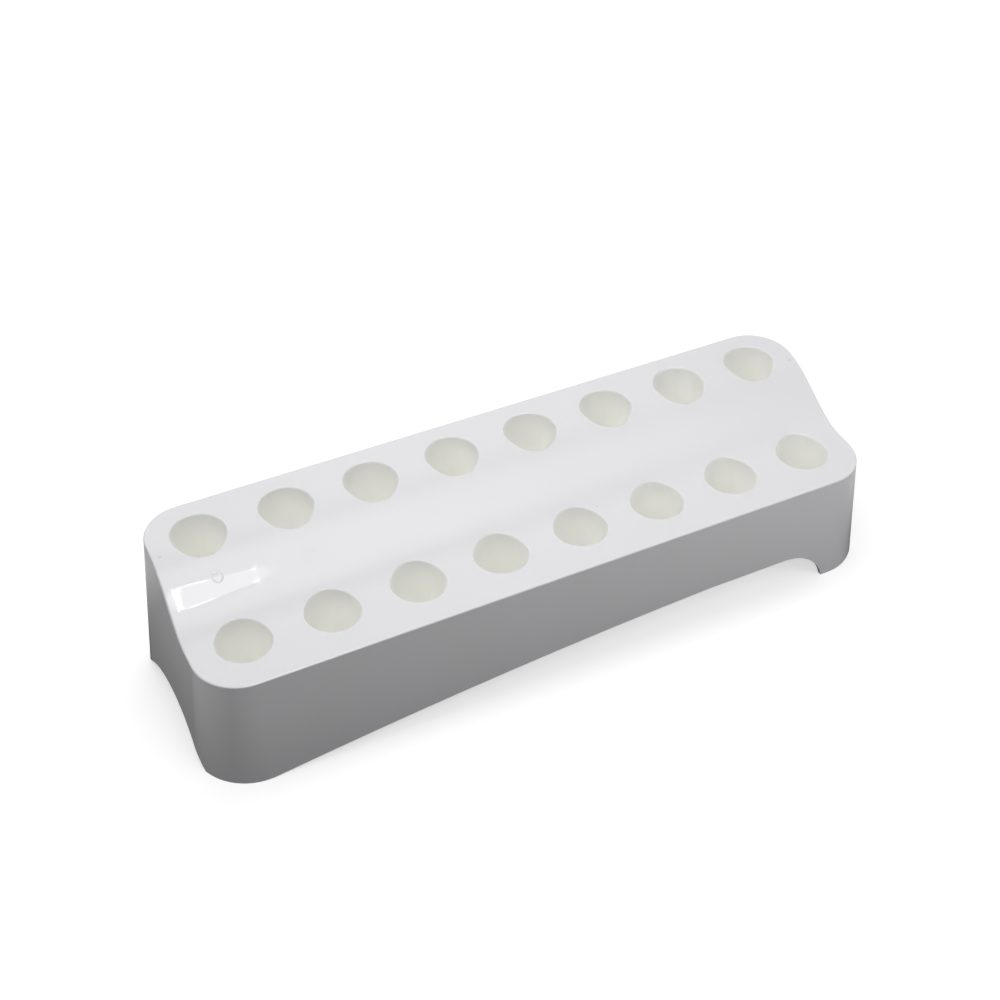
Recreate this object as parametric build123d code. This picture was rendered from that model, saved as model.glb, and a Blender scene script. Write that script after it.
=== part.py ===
from build123d import *
import math
import os

# A bench rack for tubes, moulded in one piece: a stepped deck on a drafted skirt that is open
# underneath, with two rows of closed wells hanging from the deck. All sizes are in millimetres.
# The origin is on the bench, in the middle of the footprint. +X runs along the rows, +Y points
# from the low front row to the high back row, and +Z is up.

# Wells
COLUMNS = 8
WELL_BORE = 17.5  # clears a 17 mm tube
WELL_DEPTH = 36.4
COLUMN_WEB = 11.6  # deck between neighbouring mouths in a row
ROW_WEB = 19.25  # deck between the mouths of the two rows
SLEEVE_WALL = 1.8
FLOOR_THICKNESS = 1.8
FLOOR_RADIUS = 2.0  # inside corner round a well's floor
SLEEVE_FOOT_RADIUS = 1.2  # outside corner round a well's floor
BENCH_CLEARANCE = 1.9  # under the front wells
RIM_RADIUS = 0.5

# Deck
STEP_HEIGHT = 14.35
SLOPE_START = 2.2  # behind the front row's axes
SLOPE_END = 0.4  # in front of the back row's axes
SLOPE_EASE = 12.4  # level handle of the slope's curve at each end
DECK_THICKNESS = 2.0
END_LAND = 8.85  # from the last mouth to the deck's end, on the low deck
FRONT_LAND = 9.4  # from the front mouths to the low deck's front edge
BACK_LAND = 6.3  # from the back mouths to the high deck's back edge
CORNER_RADIUS = 15.2  # in plan, on the low deck
EDGE_RADIUS = 0.6  # round the deck's outer edge

# Skirt
DRAFT_ANGLE = 4.3
SKIRT_WALL = 1.6
SIDE_OPENING_HEIGHT = 12.55  # of the opening in the front and back walls
SIDE_OPENING_ROUND = 16.5  # radius of its right end
RIGHT_FOOT = 21.2  # from the rack's right end to the opening
LEFT_FOOT = 19.3  # from the rack's left end to the opening
LEVEL_RUN = 30.3  # level stretch of the opening's top, beside its round right end
SWEEP_RISE = 1.85  # how far the long sweep bows above a straight line
END_ARCH_WIDTH = 53.6
END_ARCH_HEIGHT = 11.4

LEAST_DECK_RISE = 0.5  # the upright share of a deck face's normal; a wall has much less

# Worked out from the sizes above
SPREAD = math.tan(math.radians(DRAFT_ANGLE))  # how far a wall moves out per millimetre down
COLUMN_PITCH = WELL_BORE + COLUMN_WEB
ROW_GAP = WELL_BORE + ROW_WEB
LOW_DECK = WELL_DEPTH + FLOOR_THICKNESS + BENCH_CLEARANCE
HIGH_DECK = LOW_DECK + STEP_HEIGHT
END_MARGIN = WELL_BORE / 2 + END_LAND + LOW_DECK * SPREAD
FRONT_MARGIN = WELL_BORE / 2 + FRONT_LAND + LOW_DECK * SPREAD
BACK_MARGIN = WELL_BORE / 2 + BACK_LAND + HIGH_DECK * SPREAD
LENGTH = (COLUMNS - 1) * COLUMN_PITCH + 2 * END_MARGIN
WIDTH = ROW_GAP + FRONT_MARGIN + BACK_MARGIN
FOOT_CORNER_RADIUS = CORNER_RADIUS + LOW_DECK * SPREAD
FRONT_ROW_Y = FRONT_MARGIN - WIDTH / 2
BACK_ROW_Y = WIDTH / 2 - BACK_MARGIN


def drafted_block(inset):
    """A block on the rack's footprint, moved in by inset, that narrows upward past the deck."""
    footprint = RectangleRounded(
        LENGTH - 2 * inset, WIDTH - 2 * inset, FOOT_CORNER_RADIUS - inset
    )
    return extrude(footprint, HIGH_DECK + STEP_HEIGHT, taper=DRAFT_ANGLE)


def under_deck(depth):
    """Everything above the bench that lies at least depth below the deck's top surface."""
    low, high = LOW_DECK - depth, HIGH_DECK - depth
    start, end = FRONT_ROW_Y + SLOPE_START, BACK_ROW_Y - SLOPE_END
    front, back = -WIDTH, WIDTH
    slope = Bezier(
        (start, low), (start + SLOPE_EASE, low), (end - SLOPE_EASE, high), (end, high)
    )
    outline = Polyline((end, high), (back, high), (back, 0), (front, 0), (front, low), (start, low))
    side_view = Plane.YZ * make_face(slope + outline)
    return extrude(side_view, LENGTH, both=True)


def outer_form():
    """The rack's outside as one solid, with its deck edge rounded."""
    form = drafted_block(0) & under_deck(0)
    deck = form.faces().filter_by(lambda face: face.normal_at().Z > LEAST_DECK_RISE)
    walls = form.faces() - deck
    return fillet(deck.edges() & walls.edges(), EDGE_RADIUS)


def side_opening():
    """The opening in the front and back walls: a round end, a level run and a long sweep."""
    right = LENGTH / 2 - RIGHT_FOOT
    left = LEFT_FOOT - LENGTH / 2
    round_reach = math.sqrt(SIDE_OPENING_ROUND**2 - (SIDE_OPENING_ROUND - SIDE_OPENING_HEIGHT) ** 2)
    round_top = (right - round_reach, SIDE_OPENING_HEIGHT)
    sweep_top = (right - round_reach - LEVEL_RUN, SIDE_OPENING_HEIGHT)
    edge = (
        RadiusArc((right, 0), round_top, -SIDE_OPENING_ROUND)
        + Line(round_top, sweep_top)
        + SagittaArc(sweep_top, (left, 0), -SWEEP_RISE)
        + Line((left, 0), (right, 0))
    )
    return extrude(Plane.XZ * make_face(edge), WIDTH, both=True)


def end_opening():
    """The shallow arch in both end walls."""
    half = END_ARCH_WIDTH / 2
    arch = ThreePointArc((-half, 0), (0, END_ARCH_HEIGHT), (half, 0))
    return extrude(Plane.YZ * make_face(arch + Line((half, 0), (-half, 0))), LENGTH, both=True)


def well_places():
    """The middle of each well's floor, front row first."""
    for row_y, deck in ((FRONT_ROW_Y, LOW_DECK), (BACK_ROW_Y, HIGH_DECK)):
        for column in range(COLUMNS):
            x = (column - (COLUMNS - 1) / 2) * COLUMN_PITCH
            yield Pos(x, row_y, deck - WELL_DEPTH)


def round_plug(radius, height, foot_radius):
    """A cylinder that stands on the origin, with its lower edge rounded."""
    plug = extrude(Circle(radius), height)
    return fillet(plug.edges().sort_by(Axis.Z)[0], foot_radius)


def mouth_edges(body):
    """The edges where the wells open through the deck."""
    bores = body.faces().filter_by(
        lambda face: face.geom_type == GeomType.CYLINDER and math.isclose(face.radius, WELL_BORE / 2)
    )
    return bores.edges().filter_by(
        lambda edge: edge.geom_type != GeomType.LINE and edge.center().Z > LOW_DECK - RIM_RADIUS
    )


def rack_body():
    """The whole rack as one solid."""
    shell = outer_form() - (drafted_block(SKIRT_WALL) & under_deck(DECK_THICKNESS))
    shell -= side_opening()
    shell -= end_opening()
    sleeve = round_plug(WELL_BORE / 2 + SLEEVE_WALL, HIGH_DECK, SLEEVE_FOOT_RADIUS)
    sleeves = [place * Pos(Z=-FLOOR_THICKNESS) * sleeve for place in well_places()]
    trimmed = Compound(sleeves) & under_deck(DECK_THICKNESS / 2)
    body = shell + trimmed.solids()
    bore = round_plug(WELL_BORE / 2, HIGH_DECK, FLOOR_RADIUS)
    body -= [place * bore for place in well_places()]
    return fillet(mouth_edges(body), RIM_RADIUS)


os.makedirs("parts", exist_ok=True)
export_step(rack_body(), "parts/rack_body.step")
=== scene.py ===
"""Studio dressing of a two-tier bench rack for tubes, moulded in one piece of glossy white ABS.

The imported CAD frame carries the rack's shape. This script gives it its finish, adds the small
marks that moulding and use left on the deck, and sets up a plain light studio with a camera.
All lengths are in metres in the frame of the CAD, and sizes are written in millimetres.
"""

import logging
import math
from collections.abc import Callable
from dataclasses import dataclass, field
from enum import Enum

import bpy
from mathutils import Euler, Matrix, Vector


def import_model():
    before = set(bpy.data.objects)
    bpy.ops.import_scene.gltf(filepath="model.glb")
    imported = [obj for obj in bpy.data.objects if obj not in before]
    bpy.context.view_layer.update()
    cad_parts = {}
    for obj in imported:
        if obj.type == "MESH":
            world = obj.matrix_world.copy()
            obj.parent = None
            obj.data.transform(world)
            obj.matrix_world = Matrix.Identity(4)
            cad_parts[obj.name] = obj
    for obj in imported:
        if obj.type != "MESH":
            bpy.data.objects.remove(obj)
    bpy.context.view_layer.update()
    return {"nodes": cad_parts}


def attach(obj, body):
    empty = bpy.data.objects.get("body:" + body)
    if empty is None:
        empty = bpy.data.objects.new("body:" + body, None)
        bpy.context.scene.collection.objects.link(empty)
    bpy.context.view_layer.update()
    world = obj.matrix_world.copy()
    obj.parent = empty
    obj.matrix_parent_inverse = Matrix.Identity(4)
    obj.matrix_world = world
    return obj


LOG = logging.getLogger("rack")
BODY = "root"
RACK_NODE = "rack_body"
MILLIMETRE = 0.001
UNBOUNDED = 1000.0  # a height, in millimetres, past every part of the rack
LIGHT_BOUNCES = 24  # light goes round many times inside the white wells
WHITE = "#FFFFFF"

Tree = bpy.types.NodeTree
Socket = bpy.types.NodeSocket


class Row(Enum):
    """The two rows of wells, by their distance in front of (-) or behind (+) the middle."""

    FRONT = -17.364
    BACK = 19.386


class SeenBy(Enum):
    """The Light Path outputs whose rays show a surface as the studio's background."""

    CAMERA = "Is Camera Ray"
    GLOSSY = "Is Glossy Ray"
    TRANSMISSION = "Is Transmission Ray"


class Reach(Enum):
    """Where a lamp counts, as whether matt surfaces and whether gloss can see it.

    A body lamp lights the matt body under the gloss. A gloss lamp only shows as a reflection.
    """

    BODY = (True, False)
    GLOSS = (False, True)


def mm(length: float) -> float:
    """Returns a length given in millimetres, in metres."""
    return length * MILLIMETRE


def mm_vector(x: float, y: float, z: float) -> Vector:
    """Returns a place given in millimetres, in metres."""
    return Vector((mm(x), mm(y), mm(z)))


def linear(hex_colour: str) -> tuple[float, float, float, float]:
    """Turns an sRGB hex colour into the linear colour that a shader socket takes.

    Args:
        hex_colour: Six hex digits, with or without a leading #.

    Returns:
        Linear red, green, blue and an alpha of 1.
    """
    digits = hex_colour.lstrip("#")
    shares = [int(digits[i : i + 2], 16) / 255 for i in (0, 2, 4)]
    light = [s / 12.92 if s <= 0.04045 else ((s + 0.055) / 1.055) ** 2.4 for s in shares]
    return (light[0], light[1], light[2], 1.0)


def add_node(
    tree: Tree,
    kind: str,
    settings: dict[str, object] | None = None,
    inputs: dict[str | int, object] | None = None,
) -> bpy.types.Node:
    """Adds one node with its settings, socket values and links.

    Sockets that share a name go by number. A Mix node has its share at 0, two numbers at 2 and 3,
    vectors at 4 and 5, and colours at 6 and 7. Its results are at 0, 1 and 2 in that order.

    Args:
        tree: The node tree that takes the node.
        kind: The node's type name.
        settings: Properties of the node itself.
        inputs: A value, or an output socket to link, for each named or numbered input.

    Returns:
        The new node.
    """
    node = tree.nodes.new(kind)
    for name, value in (settings or {}).items():
        setattr(node, name, value)
    for name, value in (inputs or {}).items():
        if isinstance(value, Socket):
            tree.links.new(value, node.inputs[name])
        else:
            node.inputs[name].default_value = value
    return node


def empty_material(name: str) -> bpy.types.Material:
    """Makes a material with no nodes in it.

    Args:
        name: The material's name.

    Returns:
        The new material.
    """
    material = bpy.data.materials.new(name)
    material.use_nodes = True
    material.node_tree.nodes.clear()
    return material


def even_out(tree: Tree, elsewhere: Socket, even: Socket, alike: tuple[float, float]) -> Socket:
    """Takes a form's exact normal where the mesh's own normal nearly agrees with it.

    Args:
        tree: The material's node tree.
        elsewhere: Socket with the normal that the rest of the surface keeps.
        even: Socket with the form's exact normal.
        alike: Cosines of the angle between the two normals at which the exact one starts to
            count, and at which it counts in full.

    Returns:
        The socket with the normal.
    """
    own = add_node(tree, "ShaderNodeNewGeometry").outputs["Normal"]
    match = add_node(
        tree, "ShaderNodeVectorMath", {"operation": "DOT_PRODUCT"}, {0: own, 1: even}
    )
    on_form = add_node(
        tree,
        "ShaderNodeMapRange",
        {"interpolation_type": "SMOOTHSTEP"},
        {"Value": match.outputs["Value"], "From Min": alike[0], "From Max": alike[1]},
    )
    mixed = add_node(
        tree,
        "ShaderNodeMix",
        {"data_type": "VECTOR"},
        {0: on_form.outputs[0], 4: elsewhere, 5: even},
    )
    return mixed.outputs[1]


@dataclass(frozen=True)
class WellLayout:
    """Where the wells stand, in millimetres, as the CAD has them."""

    pitch: float = 29.1
    columns: int = 8
    bore_radius: float = 8.75
    rim_radius: float = 0.5


@dataclass(frozen=True)
class DeckProfile:
    """The deck seen from its end: level, then an S-shaped slope, then level, in millimetres.

    A mould gives the slope one even curve. The mesh has it in long facets, whose blended normals
    kink a reflection, so the finish works its normals out from the curve itself.
    """

    start: float = -15.164
    end: float = 18.986
    rise: float = 14.35
    ease: float = 12.4
    steps: int = 24
    alike: tuple[float, float] = (0.9990, 0.9997)

    def steepness(self, turn: float) -> tuple[float, float]:
        """Gives one point of the slope's curve.

        Args:
            turn: How far along the curve the point lies, from 0 to 1.

        Returns:
            The share of the slope's run at the point, and the rise over run there.
        """
        run = self.end - self.start
        handle = self.ease / run
        rest = 1 - turn
        share = 3 * rest**2 * turn * handle + 3 * rest * turn**2 * (1 - handle) + turn**3
        speed = 3 * (rest**2 * handle + 2 * rest * turn * (1 - 2 * handle) + turn**2 * handle)
        return share, 6 * turn * rest * self.rise / (run * speed)

    def normal(self, tree: Tree, place: Socket, elsewhere: Socket) -> Socket:
        """Gives the even curve's normal on the deck.

        Args:
            tree: The material's node tree.
            place: Socket with the Object coordinates.
            elsewhere: Socket with the normal that the rest of the surface keeps.

        Returns:
            The socket with the normal.
        """
        apart = add_node(tree, "ShaderNodeSeparateXYZ", None, {0: place})
        share = add_node(
            tree,
            "ShaderNodeMapRange",
            None,
            {"Value": apart.outputs["Y"], "From Min": mm(self.start), "From Max": mm(self.end)},
        )
        curve = add_node(tree, "ShaderNodeFloatCurve", None, {"Value": share.outputs[0]})
        line = curve.mapping.curves[0]
        line.points[0].location, line.points[1].location = (0.0, 0.0), (1.0, 0.0)
        for step in range(1, self.steps):
            line.points.new(*self.steepness(step / self.steps))
        curve.mapping.update()
        down = add_node(
            tree, "ShaderNodeMath", {"operation": "MULTIPLY"}, {0: curve.outputs[0], 1: -1.0}
        )
        steep = add_node(tree, "ShaderNodeCombineXYZ", None, {"Y": down.outputs[0], "Z": 1.0})
        even = add_node(
            tree, "ShaderNodeVectorMath", {"operation": "NORMALIZE"}, {0: steep.outputs[0]}
        )
        return even_out(tree, elsewhere, even.outputs[0], self.alike)


@dataclass(frozen=True)
class WallForm:
    """The skirt's outside: flat drafted walls round conical corners, in millimetres.

    The walls meet the corners without a line on the real moulding, so the finish works their
    normals out from the form, as it does on the deck.
    """

    half_length: float = 122.07
    half_width: float = 38.53
    foot_corner: float = 18.215
    draft_degrees: float = 4.3
    alike: tuple[float, float] = (0.990, 0.995)

    def normal(self, tree: Tree, place: Socket, elsewhere: Socket) -> Socket:
        """Gives the form's exact normal on the walls.

        Args:
            tree: The material's node tree.
            place: Socket with the Object coordinates.
            elsewhere: Socket with the normal that the rest of the surface keeps.

        Returns:
            The socket with the normal.
        """
        corner = mm_vector(
            self.half_length - self.foot_corner, self.half_width - self.foot_corner, UNBOUNDED
        )
        above = add_node(
            tree, "ShaderNodeVectorMath", {"operation": "MAXIMUM"}, {0: place, 1: -corner}
        )
        core = add_node(
            tree, "ShaderNodeVectorMath", {"operation": "MINIMUM"}, {0: above.outputs[0], 1: corner}
        )
        outward = add_node(
            tree, "ShaderNodeVectorMath", {"operation": "SUBTRACT"}, {0: place, 1: core.outputs[0]}
        )
        level = add_node(
            tree, "ShaderNodeVectorMath", {"operation": "NORMALIZE"}, {0: outward.outputs[0]}
        )
        lean = math.tan(math.radians(self.draft_degrees))
        drafted = add_node(
            tree,
            "ShaderNodeVectorMath",
            {"operation": "ADD"},
            {0: level.outputs[0], 1: (0.0, 0.0, lean)},
        )
        even = add_node(
            tree, "ShaderNodeVectorMath", {"operation": "NORMALIZE"}, {0: drafted.outputs[0]}
        )
        return even_out(tree, elsewhere, even.outputs[0], self.alike)


@dataclass(frozen=True)
class CloudyPattern:
    """A soft cloudy pattern in a finish, with its sizes in millimetres.

    The spacing is how far apart its features are, the detail how many finer layers it has, and
    the relief how high it stands where it roughens the surface.
    """

    spacing: float
    detail: float = 2.0
    relief: float = 0.0


@dataclass(frozen=True)
class MouldedAbs:
    """Injection-moulded ABS from a polished mould: glossy, slightly cool white.

    The eye gets a hard, clean gloss with a faint waviness in the reflections, a body colour that
    is almost even, and wells painted paler and creamier than the deck: painted light that stands
    in for the light the thick sleeves let through and pass round inside them.
    """

    deck_white: str = "#EBEAEE"
    flow_white: str = "#E4E5E6"
    # paler and creamier than the deck: painted light for the glow the thick sleeves let into the
    # wells
    lining_painted_light: str = "#FCFCFA"
    roughness_low: float = 0.015
    roughness_high: float = 0.03
    lining_roughness: float = 0.35
    lining_edge: tuple[float, float] = (0.02, 0.3)  # of the rim's radius, out from the bore
    refraction: float = 1.53
    flow: CloudyPattern = CloudyPattern(46.0)
    waviness: CloudyPattern = CloudyPattern(9.0, 1.0, 0.0012)
    grain: CloudyPattern = CloudyPattern(0.9, 2.0, 0.0004)
    layout: WellLayout = field(default_factory=WellLayout)
    profile: DeckProfile = field(default_factory=DeckProfile)
    walls: WallForm = field(default_factory=WallForm)

    def row_distance(self, tree: Tree, across: Socket, along: Socket) -> Socket:
        """Gives the distance of a point from the nearest axis in a row of wells.

        Args:
            tree: The material's node tree.
            across: Socket with the distance in y from the row, in metres.
            along: Socket with the distance in x from the nearest well, in metres.

        Returns:
            The socket with the distance in metres.
        """
        power = {"operation": "POWER"}
        across_squared = add_node(tree, "ShaderNodeMath", power, {0: across, 1: 2.0})
        along_squared = add_node(tree, "ShaderNodeMath", power, {0: along, 1: 2.0})
        total = add_node(
            tree,
            "ShaderNodeMath",
            {"operation": "ADD"},
            {0: across_squared.outputs[0], 1: along_squared.outputs[0]},
        )
        root = add_node(tree, "ShaderNodeMath", {"operation": "SQRT"}, {0: total.outputs[0]})
        return root.outputs[0]

    def well_mask(self, tree: Tree, place: Socket) -> Socket:
        """Gives 1 inside the wells and 0 on the deck and the walls.

        Args:
            tree: The material's node tree.
            place: Socket with the Object coordinates.

        Returns:
            The socket with the mask.
        """
        apart = add_node(tree, "ShaderNodeSeparateXYZ", None, {0: place})
        shifted = add_node(
            tree,
            "ShaderNodeMath",
            {"operation": "ADD"},
            {0: apart.outputs["X"], 1: mm(self.layout.pitch * self.layout.columns / 2)},
        )
        turn = add_node(
            tree,
            "ShaderNodeMath",
            {"operation": "FLOORED_MODULO"},
            {0: shifted.outputs[0], 1: mm(self.layout.pitch)},
        )
        along = add_node(
            tree,
            "ShaderNodeMath",
            {"operation": "SUBTRACT"},
            {0: turn.outputs[0], 1: mm(self.layout.pitch / 2)},
        )
        distances = []
        for row in Row:
            across = add_node(
                tree,
                "ShaderNodeMath",
                {"operation": "SUBTRACT"},
                {0: apart.outputs["Y"], 1: mm(row.value)},
            )
            distances.append(self.row_distance(tree, across.outputs[0], along.outputs[0]))
        nearest = add_node(
            tree, "ShaderNodeMath", {"operation": "MINIMUM"}, {0: distances[0], 1: distances[1]}
        )
        inner, outer = (
            mm(self.layout.bore_radius + self.layout.rim_radius * share)
            for share in self.lining_edge
        )
        mask = add_node(
            tree,
            "ShaderNodeMapRange",
            {"interpolation_type": "SMOOTHSTEP"},
            {
                "Value": nearest.outputs[0],
                "From Min": inner,
                "From Max": outer,
                "To Min": 1.0,
                "To Max": 0.0,
            },
        )
        return mask.outputs[0]

    def build(self) -> bpy.types.Material:
        """Builds the material.

        Returns:
            The finished ABS material.
        """
        material = empty_material("moulded_abs_white")
        tree = material.node_tree
        place = add_node(tree, "ShaderNodeTexCoord").outputs["Object"]
        flow, waviness, grain = (
            add_node(
                tree,
                "ShaderNodeTexNoise",
                None,
                {"Vector": place, "Scale": 1 / mm(pattern.spacing), "Detail": pattern.detail},
            ).outputs["Fac"]
            for pattern in (self.flow, self.waviness, self.grain)
        )
        body = add_node(
            tree,
            "ShaderNodeMix",
            {"data_type": "RGBA"},
            {0: flow, 6: linear(self.deck_white), 7: linear(self.flow_white)},
        )
        # The wells take the paler lining colour, which is painted light, and their rougher finish.
        in_well = self.well_mask(tree, place)
        colour = add_node(
            tree,
            "ShaderNodeMix",
            {"data_type": "RGBA"},
            {0: in_well, 6: body.outputs[2], 7: linear(self.lining_painted_light)},
        )
        polish = add_node(
            tree,
            "ShaderNodeMapRange",
            None,
            {"Value": waviness, "To Min": self.roughness_low, "To Max": self.roughness_high},
        )
        roughness = add_node(
            tree,
            "ShaderNodeMix",
            {"data_type": "FLOAT"},
            {0: in_well, 2: polish.outputs[0], 3: self.lining_roughness},
        )
        own = add_node(tree, "ShaderNodeNewGeometry").outputs["Normal"]
        on_walls = self.walls.normal(tree, place, own)
        normal = self.profile.normal(tree, place, on_walls)
        for pattern, height in ((self.waviness, waviness), (self.grain, grain)):
            bump = add_node(
                tree,
                "ShaderNodeBump",
                None,
                {"Distance": mm(pattern.relief), "Height": height, "Normal": normal},
            )
            normal = bump.outputs[0]
        shader = add_node(
            tree,
            "ShaderNodeBsdfPrincipled",
            None,
            {
                "Base Color": colour.outputs[2],
                "Roughness": roughness.outputs[0],
                "IOR": self.refraction,
                "Normal": normal,
            },
        )
        add_node(tree, "ShaderNodeOutputMaterial", None, {"Surface": shader.outputs[0]})
        return material


@dataclass
class RackBody:
    """The moulded rack itself, whose shape is the CAD's."""

    node: bpy.types.Object
    finish: MouldedAbs = field(default_factory=MouldedAbs)

    def dress(self) -> bpy.types.Object:
        """Gives the CAD node its ABS finish.

        Returns:
            The dressed object.
        """
        material = self.finish.build()
        for slot in self.node.material_slots:
            slot.material = material
        return self.node


@dataclass(frozen=True)
class HandlingGrime:
    """Fine dust and rubbed-in grime on the ABS, such as a bench leaves: greyer and matt.

    The eye gets a faint soft spot that is duller than the gloss around it.
    """

    name: str
    pale: str
    dark: str
    roughness: float = 0.6
    blotch: CloudyPattern = CloudyPattern(0.5, 2.0, 0.01)

    def build(self) -> bpy.types.Material:
        """Builds the material.

        Returns:
            The finished grime material.
        """
        material = empty_material(self.name)
        tree = material.node_tree
        place = add_node(tree, "ShaderNodeTexCoord").outputs["Object"]
        blotch = add_node(
            tree,
            "ShaderNodeTexNoise",
            None,
            {"Vector": place, "Scale": 1 / mm(self.blotch.spacing), "Detail": self.blotch.detail},
        ).outputs["Fac"]
        colour = add_node(
            tree,
            "ShaderNodeMix",
            {"data_type": "RGBA"},
            {0: blotch, 6: linear(self.pale), 7: linear(self.dark)},
        )
        bump = add_node(
            tree, "ShaderNodeBump", None, {"Distance": mm(self.blotch.relief), "Height": blotch}
        )
        shader = add_node(
            tree,
            "ShaderNodeBsdfPrincipled",
            None,
            {
                "Base Color": colour.outputs[2],
                "Roughness": self.roughness,
                "Normal": bump.outputs[0],
            },
        )
        add_node(tree, "ShaderNodeOutputMaterial", None, {"Surface": shader.outputs[0]})
        return material


class Mark(Enum):
    """What a mark on the deck is."""

    RING = "ring"
    SMUDGE = "smudge"
    SPECK = "speck"


@dataclass(frozen=True)
class DeckMark:
    """One small mark on the deck: its place, its radius and how proud it stands, in millimetres.

    A ring's lean is in degrees about its lower edge. A spot is stretched along x, and its seed
    gives it an uneven outline of its own.
    """

    kind: Mark
    name: str
    x: float
    y: float
    radius: float
    proud: float
    lean: float = 0.0
    stretch: float = 1.0
    seed: int = 0


def select_faces(
    piece: bpy.types.Object, wanted: Callable[[bpy.types.MeshPolygon], bool]
) -> None:
    """Goes into edit mode with only the faces that pass a test selected.

    Args:
        piece: The piece, which is the active object.
        wanted: Says of a face whether it is selected.
    """
    bpy.ops.object.mode_set(mode="EDIT")
    bpy.ops.mesh.select_mode(type="FACE")
    bpy.ops.mesh.select_all(action="DESELECT")
    bpy.ops.object.mode_set(mode="OBJECT")
    for face in piece.data.polygons:
        face.select = wanted(face)
    bpy.ops.object.mode_set(mode="EDIT")


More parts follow.
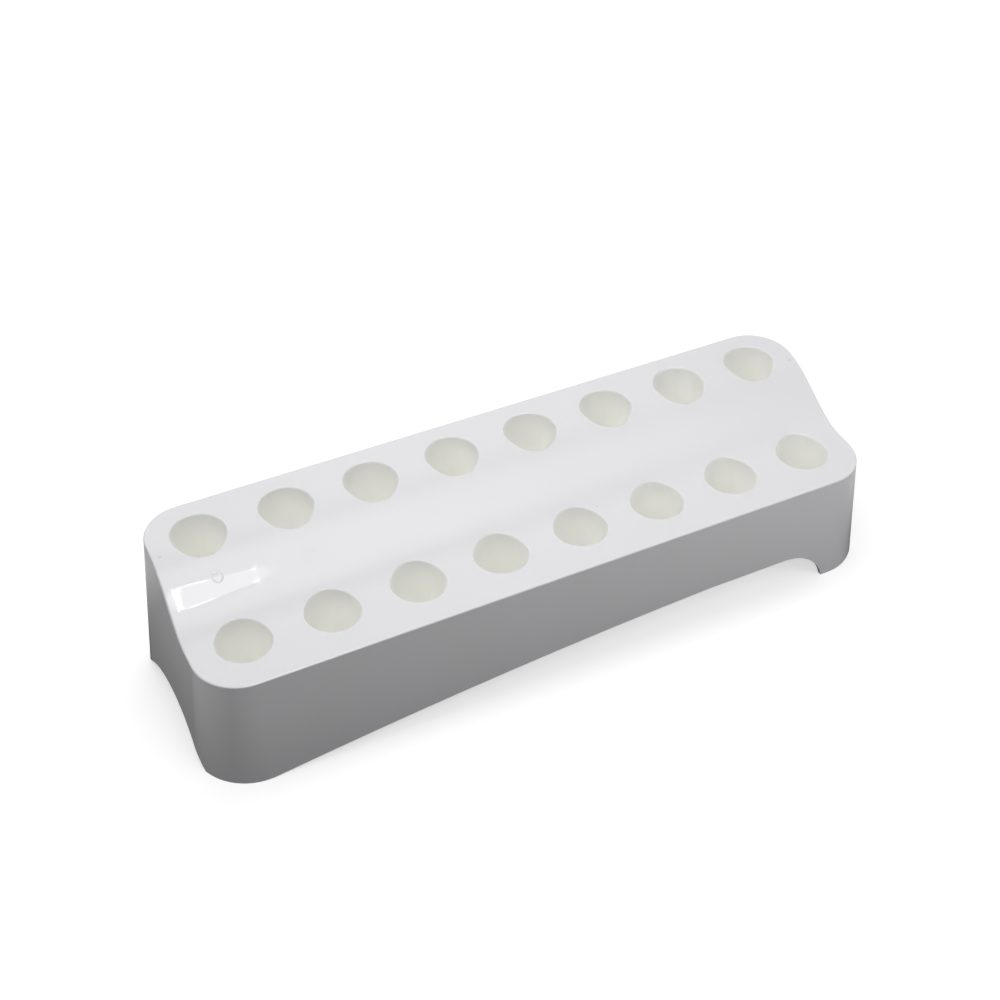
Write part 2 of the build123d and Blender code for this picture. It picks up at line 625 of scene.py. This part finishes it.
@dataclass
class DeckMarks:
    """The small marks on the deck: rings in the moulded slope, smudges and one speck."""

    rack: bpy.types.Object
    plastic: bpy.types.Material
    flank: float = 0.4  # of a ring's radius, on each side of its lip's crest
    dent: float = 1.3  # of the lip's height, down from its crest
    buried: float = 0.4
    ring_sides: int = 96
    upright: float = 0.9  # the least z of the normal of a ring's top face
    lip_round: float = 0.35  # of a flank
    lip_segments: int = 4
    lip_degrees: float = 1.0  # edges that turn by more than this are rounded
    spot_divisions: int = 3
    spot_unevenness: float = 0.12  # of a spot's radius
    spot_smoothing: int = 2
    smooth_degrees: float = 50.0
    drop_height: float = 100.0  # of the ray that finds the deck under a mark
    marks: tuple[DeckMark, ...] = (
        DeckMark(Mark.RING, "slope_ring_large", -101.6, 4.2, 1.6, 0.17, -2.5),
        DeckMark(Mark.RING, "slope_ring_small", -102.0, 5.8, 1.0, 0.15, -2.5),
        DeckMark(Mark.RING, "slope_ring_faint", -71.0, 3.5, 1.0, 0.08, -1.6),
        DeckMark(Mark.RING, "slope_ring_faintest", -73.8, 4.0, 0.9, 0.06, -1.2),
        DeckMark(Mark.SMUDGE, "left_end_smudge", -115.8, 14.7, 0.42, 0.03, 0.0, 1.6, 3),
        DeckMark(Mark.SMUDGE, "right_end_smudge", 116.0, 14.4, 0.5, 0.03, 0.0, 1.4, 5),
        DeckMark(Mark.SPECK, "front_deck_speck", 24.05, -11.2, 0.2, 0.08, 0.0, 1.0, 7),
    )

    def seat(self, mark: DeckMark) -> Matrix:
        """Finds where a mark sits on the rack.

        Args:
            mark: The mark.

        Returns:
            The matrix that takes the mark from the origin to its place, with +Z off the surface.
        """
        above = mm_vector(mark.x, mark.y, self.drop_height)
        _, place, normal, _ = self.rack.ray_cast(above, Vector((0.0, 0.0, -1.0)))
        across = normal.cross(Vector((1.0, 0.0, 0.0))).normalized()
        turn = Matrix((across.cross(normal), across, normal)).transposed()
        hinge = Matrix.Translation(mm_vector(0.0, mark.radius * (1 + self.flank), 0.0))
        lean = Matrix.Rotation(math.radians(mark.lean), 4, "X")
        return Matrix.Translation(place) @ turn.to_4x4() @ hinge.inverted() @ lean @ hinge

    def model_ring(self, mark: DeckMark) -> bpy.types.Object:
        """Models a round dent with a low raised lip, as a pin leaves in soft plastic.

        Args:
            mark: The ring, whose radius is that of the lip's crest.

        Returns:
            The ring's object, at the origin.
        """
        flank = mark.radius * self.flank
        bpy.ops.mesh.primitive_cylinder_add(
            vertices=self.ring_sides,
            radius=mm(mark.radius + flank),
            depth=mm(self.buried),
            location=(0.0, 0.0, -mm(self.buried / 2)),
        )
        piece = bpy.context.object
        bpy.ops.object.transform_apply(location=True, rotation=False, scale=False)
        select_faces(piece, lambda face: face.normal.z > self.upright)
        bpy.ops.mesh.inset(thickness=mm(flank), depth=mm(mark.proud))
        bpy.ops.mesh.inset(thickness=mm(flank), depth=-mm(mark.proud * self.dent))
        bpy.ops.mesh.inset(thickness=mm(flank / 2))
        bpy.ops.object.mode_set(mode="OBJECT")
        bevel = piece.modifiers.new("lip_round", "BEVEL")
        bevel.width = mm(flank * self.lip_round)
        bevel.segments = self.lip_segments
        bevel.limit_method = "ANGLE"
        bevel.angle_limit = math.radians(self.lip_degrees)
        bpy.ops.object.modifier_apply(modifier=bevel.name)
        return piece

    def model_spot(self, mark: DeckMark) -> bpy.types.Object:
        """Models a low, uneven spot that lies on the surface.

        Args:
            mark: The smudge or speck.

        Returns:
            The spot's object, at the origin.
        """
        bpy.ops.mesh.primitive_ico_sphere_add(
            subdivisions=self.spot_divisions, radius=mm(mark.radius)
        )
        piece = bpy.context.object
        bpy.ops.object.mode_set(mode="EDIT")
        bpy.ops.mesh.select_all(action="SELECT")
        unevenness = mm(mark.radius * self.spot_unevenness)
        bpy.ops.transform.vertex_random(offset=unevenness, seed=mark.seed)
        bpy.ops.transform.resize(value=(mark.stretch, 1.0, mark.proud / mark.radius))
        bpy.ops.mesh.vertices_smooth(repeat=self.spot_smoothing)
        bpy.ops.object.mode_set(mode="OBJECT")
        return piece

    def build(self) -> list[bpy.types.Object]:
        """Models, places and dresses every mark.

        Returns:
            The finished pieces.
        """
        finishes = {
            Mark.RING: self.plastic,
            Mark.SMUDGE: HandlingGrime("rubbed_smudge", "#D9D9DB", "#CDCDCF").build(),
            Mark.SPECK: HandlingGrime("dust_speck", "#B9B8B6", "#8F8D8A").build(),
        }
        pieces = []
        for mark in self.marks:
            bpy.ops.object.select_all(action="DESELECT")
            model = self.model_ring if mark.kind is Mark.RING else self.model_spot
            piece = model(mark)
            piece.name = mark.name
            piece.data.name = mark.name
            piece.matrix_world = self.seat(mark)
            bpy.ops.object.transform_apply(location=True, rotation=True, scale=True)
            bpy.ops.object.shade_smooth_by_angle(angle=math.radians(self.smooth_degrees))
            piece.data.materials.append(finishes[mark.kind])
            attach(piece, BODY)
            LOG.info("piece %s with %d faces", piece.name, len(piece.data.polygons))
            pieces.append(piece)
        return pieces


@dataclass(frozen=True)
class Backdrop:
    """Pale matt paper under the rack, which looks white and still shows a soft shadow.

    To the camera it is white, and reflections show it dimmer, with painted shade next to the rack.
    It gives the walls little light from below, which leaves them as grey as they are in a studio
    with a dark bench. Lengths are in millimetres from the middle of the rack, and the painted
    shade's reach is from its foot.
    """

    shown: str = "#C6C6C6"
    glow_near: float = 0.62
    glow_far: float = 1.0
    fade_start: float = 130.0
    fade_end: float = 380.0
    bounced: str = "#2A2A2C"
    painted_shade_reach: float = 34.0
    painted_shade_gloss: tuple[float, float] = (0.05, 0.62)
    footprint: tuple[float, float] = (122.0, 38.5)
    size: float = 12000.0

    def floor_gloss_painted_shade(self, tree: Tree) -> Socket:
        """Gives the share of the paper's brightness that the walls mirror.

        The share is painted shade: it is smallest at the rack's footprint and grows over the
        shade's reach, standing in for the wall's own shade on the paper, so the wall mirrors the
        paper darker towards its foot.

        Args:
            tree: The floor's node tree.

        Returns:
            The socket with the share.
        """
        place = add_node(tree, "ShaderNodeTexCoord").outputs["Object"]
        folded = add_node(tree, "ShaderNodeVectorMath", {"operation": "ABSOLUTE"}, {0: place})
        outside = add_node(
            tree,
            "ShaderNodeVectorMath",
            {"operation": "SUBTRACT"},
            {0: folded.outputs[0], 1: mm_vector(*self.footprint, 0.0)},
        )
        apart = add_node(tree, "ShaderNodeSeparateXYZ", None, {0: outside.outputs[0]})
        away = add_node(
            tree,
            "ShaderNodeMath",
            {"operation": "MAXIMUM"},
            {0: apart.outputs["X"], 1: apart.outputs["Y"]},
        )
        # Painted shade: the mirrored paper is darker next to the rack's footprint, out to the
        # reach.
        share = add_node(
            tree,
            "ShaderNodeMapRange",
            None,
            {
                "Value": away.outputs[0],
                "From Max": mm(self.painted_shade_reach),
                "To Min": self.painted_shade_gloss[0],
                "To Max": self.painted_shade_gloss[1],
            },
        )
        return share.outputs[0]

    def background_share(self, tree: Tree, in_gloss: float | Socket) -> Socket:
        """Gives 1 for the rays that see the background, and 0 for the rest.

        Args:
            tree: The node tree of the floor or the world.
            in_gloss: The share of the background's brightness that a reflection shows, as a
                number or a socket.

        Returns:
            The socket with the share.
        """
        path = add_node(tree, "ShaderNodeLightPath")
        reflected = add_node(
            tree,
            "ShaderNodeMath",
            {"operation": "MULTIPLY"},
            {0: path.outputs[SeenBy.GLOSSY.value], 1: in_gloss},
        )
        seen = add_node(
            tree,
            "ShaderNodeMath",
            {"operation": "MAXIMUM"},
            {0: path.outputs[SeenBy.CAMERA.value], 1: path.outputs[SeenBy.TRANSMISSION.value]},
        )
        share = add_node(
            tree,
            "ShaderNodeMath",
            {"operation": "MAXIMUM"},
            {0: seen.outputs[0], 1: reflected.outputs[0]},
        )
        return share.outputs[0]

    def glow(self, tree: Tree) -> Socket:
        """Gives the paper's own glow, which grows to plain white away from the rack.

        Args:
            tree: The floor's node tree.

        Returns:
            The socket with the glow's strength.
        """
        place = add_node(tree, "ShaderNodeTexCoord").outputs["Object"]
        reach = add_node(tree, "ShaderNodeVectorMath", {"operation": "LENGTH"}, {0: place})
        strength = add_node(
            tree,
            "ShaderNodeMapRange",
            {"interpolation_type": "SMOOTHSTEP"},
            {
                "Value": reach.outputs["Value"],
                "From Min": mm(self.fade_start),
                "From Max": mm(self.fade_end),
                "To Min": self.glow_near,
                "To Max": self.glow_far,
            },
        )
        return strength.outputs[0]

    def build(self) -> bpy.types.Object:
        """Lays the paper under the rack.

        Returns:
            The floor.
        """
        bpy.ops.mesh.primitive_plane_add(size=mm(self.size))
        floor = bpy.context.object
        floor.name = "paper_floor"
        material = empty_material("matt_paper")
        tree = material.node_tree
        lit = add_node(tree, "ShaderNodeBsdfDiffuse", None, {"Color": linear(self.shown)})
        glow = add_node(tree, "ShaderNodeEmission", None, {"Strength": self.glow(tree)})
        seen = add_node(tree, "ShaderNodeAddShader", None, {0: lit.outputs[0], 1: glow.outputs[0]})
        dim = add_node(tree, "ShaderNodeBsdfDiffuse", None, {"Color": linear(self.bounced)})
        surface = add_node(
            tree,
            "ShaderNodeMixShader",
            None,
            {
                0: self.background_share(tree, self.floor_gloss_painted_shade(tree)),
                1: dim.outputs[0],
                2: seen.outputs[0],
            },
        )
        add_node(tree, "ShaderNodeOutputMaterial", None, {"Surface": surface.outputs[0]})
        floor.data.materials.append(material)
        return floor


@dataclass(frozen=True)
class SoftDome:
    """The faint even light that a white room returns from all sides.

    In the gloss the room is brighter towards the window wall. The pole is the direction in which
    it is brightest, and the reach the cosines of the angle from it at which that starts and ends.
    """

    backdrop: Backdrop
    level: float = 0.12
    sheen_pole: tuple[float, float, float] = (0.0, -0.5, 0.866)
    sheen_reach: tuple[float, float] = (0.82, 0.98)
    sheen: float = 3.4

    def sheen_level(self, tree: Tree) -> Socket:
        """Gives the room's brightness in the gloss, which grows towards the window wall.

        Args:
            tree: The world's node tree.

        Returns:
            The socket with the brightness: 1 to the camera and away from the window.
        """
        ray = add_node(tree, "ShaderNodeTexCoord").outputs["Generated"]
        towards = add_node(
            tree,
            "ShaderNodeVectorMath",
            {"operation": "DOT_PRODUCT"},
            {0: ray, 1: self.sheen_pole},
        )
        glossy = add_node(tree, "ShaderNodeLightPath").outputs[SeenBy.GLOSSY.value]
        brightest = add_node(
            tree,
            "ShaderNodeMapRange",
            None,
            {"Value": glossy, "To Min": 1.0, "To Max": self.sheen},
        )
        level = add_node(
            tree,
            "ShaderNodeMapRange",
            {"interpolation_type": "SMOOTHSTEP"},
            {
                "Value": towards.outputs["Value"],
                "From Min": self.sheen_reach[0],
                "From Max": self.sheen_reach[1],
                "To Min": 1.0,
                "To Max": brightest.outputs[0],
            },
        )
        return level.outputs[0]

    def build(self) -> bpy.types.World:
        """Makes the world that fills the rack's shades.

        Returns:
            The world.
        """
        world = bpy.data.worlds.new("soft_dome")
        world.use_nodes = True
        tree = world.node_tree
        tree.nodes.clear()
        dome, white = (
            add_node(
                tree, "ShaderNodeBackground", None, {"Color": linear(WHITE), "Strength": strength}
            )
            for strength in (self.level, self.sheen_level(tree))
        )
        surface = add_node(
            tree,
            "ShaderNodeMixShader",
            None,
            {0: self.backdrop.background_share(tree, 1.0), 1: dome.outputs[0], 2: white.outputs[0]},
        )
        add_node(tree, "ShaderNodeOutputWorld", None, {"Surface": surface.outputs[0]})
        bpy.context.scene.world = world
        return world


@dataclass(frozen=True)
class SoftLamp:
    """A flat rectangular lamp that shines towards a point, with an even glow.

    Lengths are in millimetres. A lamp of level 1 looks as bright as plain white.
    """

    name: str
    middle: tuple[float, float, float]
    target: tuple[float, float, float]
    width: float
    height: float
    level: float
    reach: Reach = Reach.BODY
    tint: str = WHITE
    turn_degrees: float = 0.0

    def build(self) -> bpy.types.Object:
        """Hangs the lamp.

        Returns:
            The lamp's object.
        """
        data = bpy.data.lights.new(self.name, "AREA")
        data.shape = "RECTANGLE"
        data.size = mm(self.width)
        data.size_y = mm(self.height)
        # A lamp that looks as bright as plain white has a power of pi times its area.
        data.energy = self.level * math.pi * data.size * data.size_y
        data.color = linear(self.tint)[:3]
        lamp = bpy.data.objects.new(self.name, data)
        bpy.context.scene.collection.objects.link(lamp)
        middle = mm_vector(*self.middle)
        aim = (mm_vector(*self.target) - middle).to_track_quat("-Z", "Y").to_matrix()
        turn = Matrix.Rotation(math.radians(self.turn_degrees), 3, "Z")
        lamp.rotation_euler = (turn @ aim).to_euler()
        lamp.location = middle
        lamp.visible_camera = False
        lamp.visible_diffuse, lamp.visible_glossy = self.reach.value
        return lamp


@dataclass(frozen=True)
class Pane:
    """One bright patch of the window: its middle and its size, in millimetres, and its glow."""

    name: str
    x: float
    y: float
    width: float
    depth: float
    level: float
    turn_degrees: float = 0.0
    tint: str = WHITE


@dataclass(frozen=True)
class Window:
    """A tall window above and in front of the rack, which only shows in the gloss of the slope.

    The panes come first, and then the trim, which hangs just below them so that it shows in front
    of them. The turn of each is in plan.
    """

    height: float = 800.0
    trim_drop: float = 1.0
    # Name, x, y, width, depth, level, turn and tint.
    panes: tuple[Pane, ...] = (
        Pane("window_pane", 22.3, -349.1, 64.8, 160.0, 2.3, -19.0, "#FAF9FF"),
        Pane("window_wing_1", 58.95, -361.7, 12.7, 160.0, 1.6, -19.0, "#FAF9FF"),
        Pane("window_wing_2", 70.95, -365.9, 12.7, 160.0, 0.9, -19.0, "#FAF9FF"),
    )
    trim: tuple[Pane, ...] = (
        Pane("window_side_1", 19.1, -342.0, 0.6, 160.0, 24.0, 4.0),
        Pane("window_side_2", 22.2, -342.0, 0.6, 160.0, 24.0, 4.0),
        Pane("window_end", 31.0, -267.6, 23.3, 2.2, 16.0, -19.0),
        Pane("window_catch", 78.5, -285.0, 2.6, 2.6, 28.0, 0.0, "#FFF8E4"),
        Pane("window_edge", 79.3, -280.0, 1.2, 30.0, 5.0, 0.0, "#FFF8E4"),
        Pane("window_sill", 50.0, -590.0, 240.0, 320.0, 7.0),
    )

    def lamps(self) -> tuple[SoftLamp, ...]:
        """Gives one lamp for each pane and each piece of trim.

        Returns:
            The lamps, which face straight down.
        """
        hung = [(pane, self.height) for pane in self.panes]
        hung += [(pane, self.height - self.trim_drop) for pane in self.trim]
        return tuple(
            SoftLamp(
                pane.name,
                (pane.x, pane.y, height),
                (pane.x, pane.y, 0.0),
                pane.width,
                pane.depth,
                pane.level,
                Reach.GLOSS,
                pane.tint,
                pane.turn_degrees,
            )
            for pane, height in hung
        )


@dataclass
class Studio:
    """The floor, the dome and the lamps round the rack."""

    backdrop: Backdrop = field(default_factory=Backdrop)
    # Name, middle, target, width, height and level.
    lamps: tuple[SoftLamp, ...] = (
        SoftLamp("front_panel", (240.0, -360.0, 800.0), (240.0, -360.0, 0.0), 290.0, 300.0, 1.35),
        SoftLamp("window_light", (40.0, -420.0, 800.0), (0.0, 0.0, 40.0), 160.0, 200.0, 4.0),
        SoftLamp("top_panel", (-40.0, 90.0, 480.0), (-5.0, 0.0, 40.0), 560.0, 200.0, 4.08),
        SoftLamp("front_near", (35.0, -150.0, 150.0), (35.0, -38.0, 25.0), 320.0, 50.0, 0.73),
        SoftLamp("front_right", (130.0, -150.0, 150.0), (100.0, -38.0, 25.0), 140.0, 50.0, 0.8),
        SoftLamp("right_low", (300.0, -260.0, 75.0), (115.0, -38.0, 25.0), 160.0, 160.0, 3.0),
        SoftLamp("left_front", (-800.0, -520.0, 700.0), (0.0, 0.0, 30.0), 500.0, 500.0, 1.6),
        SoftLamp("left_low", (-700.0, 60.0, 200.0), (-60.0, 0.0, 30.0), 400.0, 300.0, 0.5),
        SoftLamp("back_low", (0.0, 600.0, 90.0), (0.0, 38.0, 25.0), 600.0, 140.0, 2.5),
        SoftLamp("back_left", (-350.0, 350.0, 700.0), (0.0, 0.0, 40.0), 400.0, 400.0, 0.3),
        SoftLamp("back_right", (350.0, 350.0, 700.0), (0.0, 0.0, 40.0), 400.0, 400.0, 0.3),
    )
    window: Window = field(default_factory=Window)

    def build(self) -> None:
        """Builds the whole studio."""
        self.backdrop.build()
        SoftDome(self.backdrop).build()
        for lamp in self.lamps + self.window.lamps():
            lamp.build()
            LOG.info("lamp %s", lamp.name)


@dataclass(frozen=True)
class RackCamera:
    """The camera, which looks down on the rack from its front left.

    Lengths are in millimetres and angles in degrees. The shift is in widths of the frame.
    """

    target: tuple[float, float, float] = (19.2, 7.79, 40.13)
    distance: float = 597.356
    azimuth: float = -29.613
    elevation: float = 40.722
    roll: float = 2.336
    lens: float = 63.68
    sensor: float = 36.0
    nearest: float = 10.0
    shift: tuple[float, float] = (-0.05705, -0.02198)

    def build(self) -> bpy.types.Object:
        """Places the camera and makes it the scene's own.

        Returns:
            The camera's object.
        """
        turn = Euler((math.radians(90 - self.elevation), 0.0, math.radians(self.azimuth)))
        aim = turn.to_matrix() @ Matrix.Rotation(math.radians(self.roll), 3, "Z")
        data = bpy.data.cameras.new("rack_camera")
        data.sensor_width = self.sensor
        data.lens = self.lens
        data.shift_x, data.shift_y = self.shift
        data.clip_start = mm(self.nearest)
        camera = bpy.data.objects.new("rack_camera", data)
        bpy.context.scene.collection.objects.link(camera)
        back = aim.col[2] * mm(self.distance)
        camera.matrix_world = Matrix.Translation(mm_vector(*self.target) + back) @ aim.to_4x4()
        bpy.context.scene.camera = camera
        return camera


def main() -> None:
    """Builds the studio around the rack and reports each piece."""
    logging.basicConfig(level=logging.INFO, format="%(name)s: %(message)s")
    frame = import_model()
    bpy.ops.object.select_all(action="DESELECT")
    bpy.context.scene.view_settings.view_transform = "Standard"
    bpy.context.scene.cycles.diffuse_bounces = LIGHT_BOUNCES
    bpy.context.scene.cycles.max_bounces = LIGHT_BOUNCES
    RackCamera().build()
    Studio().build()
    rack = RackBody(frame["nodes"][RACK_NODE]).dress()
    LOG.info("piece %s with %d faces", rack.name, len(rack.data.polygons))
    DeckMarks(rack, rack.material_slots[0].material).build()


if __name__ == "__main__":
    main()
